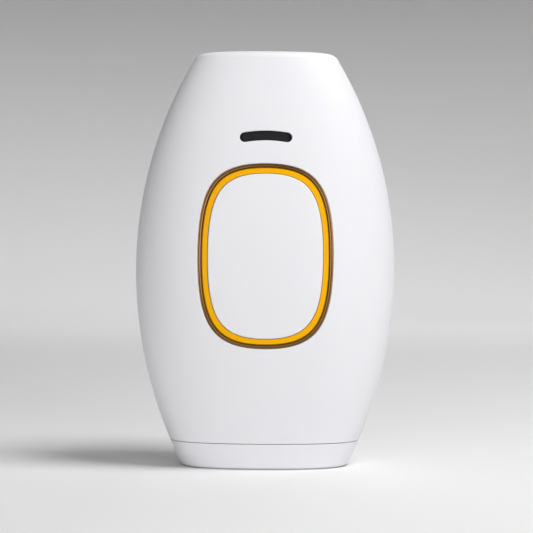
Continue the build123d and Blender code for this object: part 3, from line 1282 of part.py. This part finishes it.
lamp_x = HOLDER_LENGTH / 2 + LEAD_CLEARANCE + LEAD_RADIUS
lamp_y = CONTROL_Y + CONTROL_THICKNESS + LEAD_CLEARANCE / 2 + LEAD_RADIUS
lamp_end_x = CONTROL_HALF_WIDTH + LEAD_CLEARANCE + 2 * LEAD_RADIUS
lamp_routes = [
    [
        (side * (TUBE_LENGTH / 2 - CAP_OVERLAP + CAP_LENGTH), 0, TUBE_Z),
        (side * lamp_x, 0, TUBE_Z),
        (side * lamp_x, lamp_y / 2, TUBE_Z - LAMP_LEAD_DROP / 2),
        (side * (lamp_x - LEAD_CLEARANCE), lamp_y, TUBE_Z - LAMP_LEAD_DROP),
        (side * lamp_end_x, lamp_y, POWER_TOP - POWER_SCREW_INSET),
        (side * lamp_end_x, POWER_Y, POWER_TOP - POWER_SCREW_INSET),
    ]
    for side in (-1, 1)
]
lamp_leads = leads(lamp_routes, LEAD_BEND)

capacitor_end = CAPACITOR_LENGTH / 2
capacitor_lead_x = capacitor_end + 2 * LEAD_RADIUS + 2 * LEAD_CLEARANCE
capacitor_routes = [
    [
        (-capacitor_end, capacitor_y + offset, CAPACITOR_Z),
        (-capacitor_lead_x, capacitor_y + offset, CAPACITOR_Z),
        (-capacitor_lead_x, capacitor_y + offset, end_z),
        (-capacitor_lead_x, POWER_REAR_Y, end_z),
    ]
    for offset, end_z in (
        (-CAPACITOR_PIN_SPACING / 2, UPPER_ROW_Z - LEAD_CLEARANCE),
        (CAPACITOR_PIN_SPACING / 2, UPPER_ROW_Z - LEAD_CLEARANCE - 4 * LEAD_RADIUS),
    )
]
capacitor_leads = leads(capacitor_routes, LEAD_BEND)

with BuildPart() as board_leads:
    with BuildSketch(BACK_PLANE.offset(POWER_REAR_Y)):
        with Locations(*[(x, FAN_Z + FAN_SIZE / 2 - LEAD_RADIUS - FIT) for x in FAN_LEAD_XS]):
            Circle(LEAD_RADIUS)
    extrude(amount=FAN_FRONT_Y - POWER_REAR_Y)
    with BuildSketch(BACK_PLANE.offset(POWER_REAR_Y)):
        with Locations(*[(-KEY_LEAD_X, POWER_BUTTON_Z - drop) for drop in KEY_LEAD_DROPS]):
            Circle(LEAD_RADIUS)
    extrude(amount=key_face_y - KEY_BOARD_THICKNESS - POWER_REAR_Y)

jack_routes = [
    [
        (x, 0, jack_top + JACK_TAG),
        (x, 0, POWER_BOTTOM + POWER_SCREW_INSET),
        (x, POWER_REAR_Y, POWER_BOTTOM + POWER_SCREW_INSET),
    ]
    for x in (0, JACK_TAG_X)
]
jack_leads = leads(jack_routes, LEAD_BEND)

pieces = {
    "front_shell": front_shell,
    "rear_shell": rear_shell,
    "base_cap": base_cap,
    "trim_ring": trim_ring,
    "yellow_band": yellow_band,
    "flash_button": flash_button,
    "flash_springs": flash_springs,
    "flash_switch": flash_switch,
    "flash_switch_plunger": flash_switch_plunger,
    "indicator_lens": indicator_lens,
    "status_leds": status_leds,
    "light_baffle": light_baffle,
    "window_bezel": window_bezel,
    "filter_window": filter_window,
    "window_gasket": window_gasket,
    "sensor_pin_left": sensor_pins["left"],
    "sensor_pin_right": sensor_pins["right"],
    "sensor_spring_left": sensor_springs["left"],
    "sensor_spring_right": sensor_springs["right"],
    "sensor_contacts": sensor_contacts,
    "lamp_holder": lamp_holder,
    "reflector": reflector,
    "flash_tube": flash_tube,
    "tube_electrodes": tube_electrodes,
    "heat_sink": heat_sink,
    "thermal_cutout": thermal_cutout,
    "lamp_screws": lamp_screws,
    "control_board": control_board,
    "control_chip": control_chip,
    "control_screws": control_screws,
    "power_board": power_board,
    "power_screws": power_screws,
    "board_header": board_header,
    "transformer_core": transformer_core,
    "transformer_winding": transformer_winding,
    "trigger_transformer": trigger_transformer,
    "power_transistor": power_transistor,
    "transistor_tab": transistor_tab,
    "filter_capacitors": filter_capacitors,
    "flash_capacitor": flash_capacitor,
    "capacitor_sleeve": capacitor_sleeve,
    "fan_frame": fan_frame,
    "fan_bush": fan_bush,
    "fan_stator": fan_stator,
    "fan_rotor": fan_rotor,
    "fan_shaft": fan_shaft,
    "fan_screws": fan_screws,
    "power_button": power_button,
    "power_switch": power_switch,
    "power_switch_plunger": power_switch_plunger,
    "key_board": key_board,
    "key_screws": key_screws,
    "dc_jack": dc_jack,
    "jack_contacts": jack_contacts,
    "case_screws": case_screws,
    "base_screws": base_screws,
    "lamp_leads": lamp_leads,
    "capacitor_leads": capacitor_leads,
    "board_leads": board_leads,
    "jack_leads": jack_leads,
}
os.makedirs("parts", exist_ok=True)
for label, piece in pieces.items():
    piece.part.label = label
    export_step(piece.part, f"parts/{label}.step")
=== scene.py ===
from math import cos, pi, radians, sin

import bpy
from mathutils import Matrix, Vector

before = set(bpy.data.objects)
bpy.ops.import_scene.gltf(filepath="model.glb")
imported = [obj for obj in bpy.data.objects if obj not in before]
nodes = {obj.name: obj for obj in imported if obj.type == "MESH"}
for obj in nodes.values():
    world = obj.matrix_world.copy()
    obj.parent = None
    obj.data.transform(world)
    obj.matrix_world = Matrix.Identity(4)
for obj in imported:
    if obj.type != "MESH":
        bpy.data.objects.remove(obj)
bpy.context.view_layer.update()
scene = bpy.context.scene

# A noise texture's values lie mostly between these two
NOISE_LOW = 0.3
NOISE_HIGH = 0.7
# The scale of a surface's drift of colour, as a share of its grain's scale
DRIFT_SHARE = 0.012
GRAIN_DETAIL = 4.0
GRAIN_ROUGHNESS = 0.6

TRACKS_PER_METRE = 420
TRACK_EDGE = 0.10
MASK_EDGE = 0.16
TRACK_HEIGHT = 0.00003
MASK_MOTTLE = 900
MASK_GLOSS = 1800

# A wave texture of scale 1 has this many bands in a unit of length
BANDS_PER_SCALE = 3.2
WIRE_WOBBLE = 0.2
WIRE_GLOSS = 2200

SLEEVE_BANDS = 14.0
SLEEVE_BAND_START = 0.82
SLEEVE_BAND_END = 0.86
SLEEVE_MOTTLE = 700
SLEEVE_WRINKLES = 900
WRINKLE_HEIGHT = 0.00001

FLOOR_RADIUS = 1.2
FLOOR_RINGS = (0.0, 0.3, 0.7, FLOOR_RADIUS)
COVE_RADIUS = 0.7
COVE_STEPS = 12
WALL_TOP = 1.9
AROUND = 96
# Heights in metres between which the painted shade darkens the paper
PAPER_PAINTED_SHADE_START = 0.02
PAPER_PAINTED_SHADE_END = 0.50
PAPER_GLOSS = 300
PAPER_FIBRES = 1500
FIBRE_HEIGHT = 0.00001
AIR_GLOW = 0.08

# Lengths are in metres and angles in degrees, and the lens and sensor are in millimetres
CAMERA_DISTANCE = 0.44
CAMERA_HEIGHT = 0.0619
CAMERA_AZIMUTH = 0.0
CAMERA_ROLL = 0.3
CAMERA_SHIFT = 0.0023
CAMERA_LENS = 94.6
CAMERA_SENSOR = 36.0
CAMERA_CLIP_START = 0.01


# Shader helpers: each returns the socket that the next one takes

def place(tree, stretch=(1.0, 1.0, 1.0)):
    """Object coordinates, stretched along the axes."""
    coordinates = tree.nodes.new("ShaderNodeTexCoord")
    mapping = tree.nodes.new("ShaderNodeMapping")
    mapping.inputs["Scale"].default_value = stretch
    tree.links.new(coordinates.outputs["Object"], mapping.inputs["Vector"])
    return mapping.outputs["Vector"]


def noise(tree, vector, scale, detail=3.0, roughness=0.5):
    """A cloudy value, of so many clouds to the metre."""
    texture = tree.nodes.new("ShaderNodeTexNoise")
    texture.inputs["Scale"].default_value = scale
    texture.inputs["Detail"].default_value = detail
    texture.inputs["Roughness"].default_value = roughness
    tree.links.new(vector, texture.inputs["Vector"])
    return texture.outputs["Fac"]


def wave(tree, vector, scale, direction, distortion=0.0):
    """A value that rises and falls in bands across one axis."""
    texture = tree.nodes.new("ShaderNodeTexWave")
    texture.bands_direction = direction
    texture.inputs["Scale"].default_value = scale
    texture.inputs["Distortion"].default_value = distortion
    tree.links.new(vector, texture.inputs["Vector"])
    return texture.outputs["Fac"]


def remap(tree, value, low, high, to_low, to_high):
    """A value taken from one range to another, and kept inside it."""
    node = tree.nodes.new("ShaderNodeMapRange")
    node.inputs["From Min"].default_value = low
    node.inputs["From Max"].default_value = high
    node.inputs["To Min"].default_value = to_low
    node.inputs["To Max"].default_value = to_high
    tree.links.new(value, node.inputs["Value"])
    return node.outputs["Result"]


def spread(tree, value, to_low, to_high):
    """A noise's value taken to a range."""
    return remap(tree, value, NOISE_LOW, NOISE_HIGH, to_low, to_high)


def blend_colours(tree, factor, first, second):
    """A colour between two, which are each a tuple or a socket."""
    node = tree.nodes.new("ShaderNodeMix")
    node.data_type = "RGBA"
    tree.links.new(factor, node.inputs["Factor"])
    for socket, colour in ((node.inputs[6], first), (node.inputs[7], second)):
        if isinstance(colour, tuple):
            socket.default_value = (*colour, 1.0)
        else:
            tree.links.new(colour, socket)
    return node.outputs[2]


def bump(tree, height, distance):
    """A normal for a relief of that height in metres."""
    node = tree.nodes.new("ShaderNodeBump")
    node.inputs["Strength"].default_value = 1.0
    node.inputs["Distance"].default_value = distance
    tree.links.new(height, node.inputs["Height"])
    return node.outputs["Normal"]


def blank(name):
    """A material with an unlinked Principled shader."""
    material = bpy.data.materials.new(name)
    material.use_nodes = True
    tree = material.node_tree
    return material, tree, tree.nodes["Principled BSDF"]


def moulded(name, light, dark, rough, grain, metallic=0.0, stretch=(1.0, 1.0, 1.0), **constants):
    """A surface with a fine grain, a slight drift of colour and an uneven gloss.
    rough is the lowest and highest roughness, and grain is (size, depth) in metres.
    The constants are the shader's own sockets, by name, with _ for a space."""
    material, tree, shader = blank(name)
    vector = place(tree, stretch)
    size, depth = grain
    drift = spread(tree, noise(tree, vector, DRIFT_SHARE / size), 0.0, 1.0)
    tree.links.new(blend_colours(tree, drift, light, dark), shader.inputs["Base Color"])
    fine = noise(tree, vector, 1.0 / size, GRAIN_DETAIL, GRAIN_ROUGHNESS)
    tree.links.new(spread(tree, fine, *rough), shader.inputs["Roughness"])
    tree.links.new(bump(tree, fine, depth), shader.inputs["Normal"])
    shader.inputs["Metallic"].default_value = metallic
    for socket, value in constants.items():
        shader.inputs[socket.replace("_", " ")].default_value = value
    return material


def finish_nodes(material, *names):
    """Give CAD nodes a finish in all their material slots."""
    for name in names:
        for slot in nodes[name].material_slots:
            slot.material = material


# Finishes

shell_white = moulded(
    "shell_white", (0.80, 0.798, 0.826), (0.785, 0.783, 0.812), (0.40, 0.50), (0.00045, 0.000004),
)
button_white = moulded(
    "button_white", (0.80, 0.796, 0.824), (0.79, 0.786, 0.816), (0.36, 0.46), (0.0004, 0.000003),
)
bronze_trim = moulded(
    "bronze_trim", (0.25, 0.14, 0.06), (0.19, 0.105, 0.042), (0.24, 0.36), (0.0003, 0.000003), 0.92,
)
yellow_plastic = moulded(
    "yellow_plastic", (0.95, 0.46, 0.0015), (0.91, 0.42, 0.0015), (0.26, 0.36), (0.0005, 0.000003),
    Specular_IOR_Level=0.05,
)
smoked_lens = moulded(
    "smoked_lens", (0.010, 0.010, 0.0125), (0.013, 0.013, 0.016), (0.30, 0.40), (0.0006, 0.000002),
    Specular_IOR_Level=0.25,
)
bezel_grey = moulded(
    "bezel_grey", (0.43, 0.44, 0.46), (0.39, 0.40, 0.42), (0.30, 0.42), (0.0004, 0.000003),
)
black_plastic = moulded(
    "black_plastic", (0.018, 0.018, 0.020), (0.028, 0.028, 0.030), (0.38, 0.55), (0.0004, 0.000008),
)
lamp_plastic = moulded(
    "lamp_plastic", (0.10, 0.10, 0.11), (0.075, 0.075, 0.085), (0.42, 0.6), (0.0005, 0.000008),
)
silicone = moulded(
    "silicone", (0.055, 0.055, 0.06), (0.04, 0.04, 0.045), (0.55, 0.7), (0.0003, 0.000004),
)
led_body = moulded(
    "led_body", (0.78, 0.76, 0.66), (0.70, 0.66, 0.52), (0.25, 0.4), (0.0003, 0.000002),
)
polished_steel = moulded(
    "polished_steel", (0.74, 0.74, 0.73), (0.68, 0.68, 0.67), (0.08, 0.2), (0.0002, 0.0000008), 1.0,
)
spring_steel = moulded(
    "spring_steel", (0.56, 0.57, 0.58), (0.44, 0.45, 0.47), (0.22, 0.38), (0.0002, 0.000001), 1.0,
)
screw_steel = moulded(
    "screw_steel", (0.42, 0.42, 0.43), (0.30, 0.30, 0.32), (0.28, 0.46), (0.0002, 0.000003), 1.0,
)
brass_contact = moulded(
    "brass_contact", (0.72, 0.52, 0.22), (0.60, 0.40, 0.16), (0.2, 0.36), (0.0002, 0.000002), 1.0,
)
tungsten = moulded(
    "tungsten", (0.40, 0.39, 0.38), (0.28, 0.27, 0.26), (0.35, 0.5), (0.0002, 0.000003), 1.0,
)
tinned_copper = moulded(
    "tinned_copper", (0.66, 0.66, 0.64), (0.55, 0.54, 0.50), (0.25, 0.42), (0.0003, 0.000002), 1.0,
)
polished_aluminium = moulded(
    "polished_aluminium", (0.86, 0.87, 0.88), (0.80, 0.81, 0.83), (0.05, 0.14), (0.0003, 0.000001), 1.0,
)
extruded_aluminium = moulded(
    "extruded_aluminium", (0.62, 0.63, 0.65), (0.50, 0.51, 0.53), (0.3, 0.46), (0.0003, 0.000004), 1.0,
    (1.0, 1.0, 0.08),
)
ferrite = moulded(
    "ferrite", (0.045, 0.043, 0.043), (0.07, 0.066, 0.064), (0.6, 0.8), (0.0004, 0.00002),
)
lead_red = moulded(
    "lead_red", (0.52, 0.02, 0.02), (0.42, 0.015, 0.015), (0.35, 0.5), (0.0005, 0.000004),
)
lead_black = moulded(
    "lead_black", (0.02, 0.02, 0.02), (0.035, 0.035, 0.035), (0.38, 0.5), (0.0005, 0.000004),
)

# Clear parts
filter_glass = moulded(
    "filter_glass", (0.80, 0.20, 0.012), (0.74, 0.17, 0.01), (0.03, 0.07), (0.0008, 0.0000006),
)
filter_shader = filter_glass.node_tree.nodes["Principled BSDF"]
filter_shader.inputs["Transmission Weight"].default_value = 0.85
filter_shader.inputs["IOR"].default_value = 1.52
quartz_glass = moulded(
    "quartz_glass", (0.93, 0.94, 0.95), (0.88, 0.90, 0.92), (0.02, 0.06), (0.001, 0.0000005),
)
quartz_shader = quartz_glass.node_tree.nodes["Principled BSDF"]
quartz_shader.inputs["Transmission Weight"].default_value = 0.9
quartz_shader.inputs["IOR"].default_value = 1.46

# Circuit boards: solder mask over a web of copper tracks
circuit_board, tree, shader = blank("circuit_board")
vector = place(tree)
cells = tree.nodes.new("ShaderNodeTexVoronoi")
cells.distance = "MANHATTAN"
cells.feature = "DISTANCE_TO_EDGE"
cells.inputs["Scale"].default_value = TRACKS_PER_METRE
tree.links.new(vector, cells.inputs["Vector"])
track = remap(tree, cells.outputs["Distance"], TRACK_EDGE, MASK_EDGE, 1.0, 0.0)
mottle = noise(tree, vector, MASK_MOTTLE)
mask_colour = blend_colours(tree, mottle, (0.012, 0.10, 0.045), (0.018, 0.13, 0.055))
tree.links.new(blend_colours(tree, track, mask_colour, (0.05, 0.26, 0.10)), shader.inputs["Base Color"])
tree.links.new(spread(tree, noise(tree, vector, MASK_GLOSS), 0.28, 0.4), shader.inputs["Roughness"])
tree.links.new(bump(tree, track, TRACK_HEIGHT), shader.inputs["Normal"])

# Windings: turns of wire or of tape, side by side, with painted shade that darkens the grooves between
# turns
wound = {}
for name, light, dark, pitch, metallic, rough in (
    ("winding_tape", (0.72, 0.50, 0.08), (0.42, 0.27, 0.03), 0.0030, 0.0, (0.3, 0.5)),
    ("copper_winding", (0.66, 0.26, 0.10), (0.26, 0.08, 0.03), 0.0004, 0.9, (0.25, 0.4)),
):
    material, tree, shader = blank(name)
    vector = place(tree)
    turn_relief_and_shade = wave(tree, vector, 1.0 / pitch / BANDS_PER_SCALE, "X", WIRE_WOBBLE)
    # Painted shade: each turn's colour goes dark towards the grooves between turns, where the relief is
    # shaded
    tree.links.new(blend_colours(tree, turn_relief_and_shade, dark, light), shader.inputs["Base Color"])
    tree.links.new(spread(tree, noise(tree, vector, WIRE_GLOSS), *rough), shader.inputs["Roughness"])
    tree.links.new(bump(tree, turn_relief_and_shade, pitch / 6), shader.inputs["Normal"])
    shader.inputs["Metallic"].default_value = metallic
    wound[name] = material

# Capacitor sleeves: heat-shrunk film with a pale band down one side
capacitor_wrap, tree, shader = blank("capacitor_wrap")
vector = place(tree)
bands = wave(tree, vector, SLEEVE_BANDS, "Z")
stripe = remap(tree, bands, SLEEVE_BAND_START, SLEEVE_BAND_END, 0.0, 1.0)
mottle = noise(tree, vector, SLEEVE_MOTTLE)
film = blend_colours(tree, mottle, (0.022, 0.024, 0.045), (0.035, 0.038, 0.065))
tree.links.new(blend_colours(tree, stripe, film, (0.55, 0.56, 0.60)), shader.inputs["Base Color"])
wrinkle = noise(tree, place(tree, (0.2, 1.0, 1.0)), SLEEVE_WRINKLES)
tree.links.new(spread(tree, wrinkle, 0.2, 0.36), shader.inputs["Roughness"])
tree.links.new(bump(tree, wrinkle, WRINKLE_HEIGHT), shader.inputs["Normal"])

# Each node's finish

finish_nodes(shell_white, "front_shell", "rear_shell", "base_cap")
finish_nodes(button_white, "flash_button", "power_button")
finish_nodes(bronze_trim, "trim_ring")
finish_nodes(yellow_plastic, "yellow_band")
finish_nodes(smoked_lens, "indicator_lens")
finish_nodes(bezel_grey, "window_bezel")
finish_nodes(filter_glass, "filter_window")
finish_nodes(silicone, "window_gasket")
finish_nodes(polished_steel, "sensor_pin_left", "sensor_pin_right", "fan_shaft")
finish_nodes(spring_steel, "flash_springs", "sensor_spring_left", "sensor_spring_right")
finish_nodes(brass_contact, "sensor_contacts", "jack_contacts", "fan_bush")
finish_nodes(led_body, "status_leds")
finish_nodes(
    black_plastic, "light_baffle", "flash_switch", "flash_switch_plunger", "power_switch",
    "power_switch_plunger", "control_chip", "board_header", "power_transistor", "fan_frame",
    "fan_rotor", "dc_jack", "thermal_cutout",
)
finish_nodes(lamp_plastic, "lamp_holder")
finish_nodes(polished_aluminium, "reflector")
finish_nodes(quartz_glass, "flash_tube")
finish_nodes(tungsten, "tube_electrodes")
finish_nodes(extruded_aluminium, "heat_sink")
finish_nodes(
    screw_steel, "lamp_screws", "control_screws", "power_screws", "fan_screws", "key_screws",
    "case_screws", "base_screws",
)
finish_nodes(circuit_board, "control_board", "power_board", "key_board")
finish_nodes(ferrite, "transformer_core")
finish_nodes(wound["winding_tape"], "transformer_winding", "trigger_transformer")
finish_nodes(wound["copper_winding"], "fan_stator")
finish_nodes(tinned_copper, "transistor_tab", "flash_capacitor")
finish_nodes(capacitor_wrap, "filter_capacitors", "capacitor_sleeve")
finish_nodes(lead_red, "lamp_leads", "board_leads")
finish_nodes(lead_black, "capacitor_leads", "jack_leads")


# Studio: one sheet that runs from the floor up into a round wall, pale on the floor, with painted shade
# that darkens it going up the wall

profile = [(radius, 0.0) for radius in FLOOR_RINGS]
for step in range(1, COVE_STEPS + 1):
    turn = pi / 2 * step / COVE_STEPS
    profile.append((FLOOR_RADIUS + COVE_RADIUS * sin(turn), COVE_RADIUS * (1 - cos(turn))))
profile.append((FLOOR_RADIUS + COVE_RADIUS, WALL_TOP))
vertices, faces = [], []
for radius, z in profile:
    for step in range(AROUND):
        turn = 2 * pi * step / AROUND
        vertices.append((radius * cos(turn), radius * sin(turn), z))
for ring in range(len(profile) - 1):
    for step in range(AROUND):
        following = (step + 1) % AROUND
        faces.append((
            ring * AROUND + step, ring * AROUND + following,
            (ring + 1) * AROUND + following, (ring + 1) * AROUND + step,
        ))
sheet_mesh = bpy.data.meshes.new("studio_sheet")
sheet_mesh.from_pydata(vertices, [], faces)
sheet_mesh.polygons.foreach_set("use_smooth", [True] * len(sheet_mesh.polygons))
studio_sheet = bpy.data.objects.new("studio_sheet", sheet_mesh)
scene.collection.objects.link(studio_sheet)
paper, tree, shader = blank("studio_paper")
vector = place(tree)
height = tree.nodes.new("ShaderNodeSeparateXYZ")
tree.links.new(vector, height.inputs["Vector"])
# Painted shade: the paper's colour darkens from the floor up the wall, standing in for the light
# falling off with height
painted_shade_rise = remap(tree, height.outputs["Z"], PAPER_PAINTED_SHADE_START, PAPER_PAINTED_SHADE_END, 0.0, 1.0)
paper_colour_with_painted_shade = blend_colours(tree, painted_shade_rise, (0.87, 0.87, 0.87), (0.42, 0.42, 0.42))
tree.links.new(paper_colour_with_painted_shade, shader.inputs["Base Color"])
tree.links.new(spread(tree, noise(tree, vector, PAPER_GLOSS), 0.8, 0.9), shader.inputs["Roughness"])
tree.links.new(bump(tree, noise(tree, vector, PAPER_FIBRES), FIBRE_HEIGHT), shader.inputs["Normal"])
sheet_mesh.materials.append(paper)


def softbox(name, position, target, size, watts):
    """A soft rectangular light at a position, turned to a target, which the camera doesn't see."""
    data = bpy.data.lights.new(name, "AREA")
    data.shape = "RECTANGLE"
    data.size, data.size_y = size
    data.energy = watts
    light = bpy.data.objects.new(name, data)
    light.location = position
    light.rotation_euler = (Vector(target) - Vector(position)).to_track_quat("-Z", "Y").to_euler()
    light.visible_camera = False
    scene.collection.objects.link(light)


softbox("key", (0.60, -1.10, 0.30), (0.0, 0.0, 0.03), (0.6, 0.6), 3.6)
softbox("front_fill", (-0.42, -1.15, 0.20), (0.0, 0.0, 0.04), (0.8, 0.4), 3.5)
softbox("overhead", (0.38, -0.19, 0.84), (0.0, -0.06, 0.0), (0.36, 0.36), 6.4)
softbox("far_floor", (0.0, 1.05, 0.9), (0.0, 1.05, 0.0), (1.6, 0.5), 1.2)
softbox("rear", (0.5, 1.0, 0.9), (0.0, 0.0, 0.06), (0.7, 0.7), 2.0)
softbox("backdrop", (0.0, 0.95, 1.0), (0.0, 1.9, 0.25), (1.6, 0.4), 6.0)

world = bpy.data.worlds.new("studio_air")
scene.world = world
world.use_nodes = True
world.node_tree.nodes["Background"].inputs["Color"].default_value = (1.0, 1.0, 1.0, 1.0)
world.node_tree.nodes["Background"].inputs["Strength"].default_value = AIR_GLOW

camera_data = bpy.data.cameras.new("camera")
camera_data.lens = CAMERA_LENS
camera_data.sensor_width = CAMERA_SENSOR
camera_data.shift_x = CAMERA_SHIFT
camera_data.clip_start = CAMERA_CLIP_START
camera = bpy.data.objects.new("camera", camera_data)
turn = radians(CAMERA_AZIMUTH)
camera.location = (CAMERA_DISTANCE * sin(turn), -CAMERA_DISTANCE * cos(turn), CAMERA_HEIGHT)
camera.rotation_euler = (Matrix.Rotation(turn, 3, "Z") @ Matrix.Rotation(radians(90), 3, "X")
                         @ Matrix.Rotation(radians(CAMERA_ROLL), 3, "Z")).to_euler()
scene.collection.objects.link(camera)
scene.camera = camera
scene.view_settings.view_transform = "Standard"
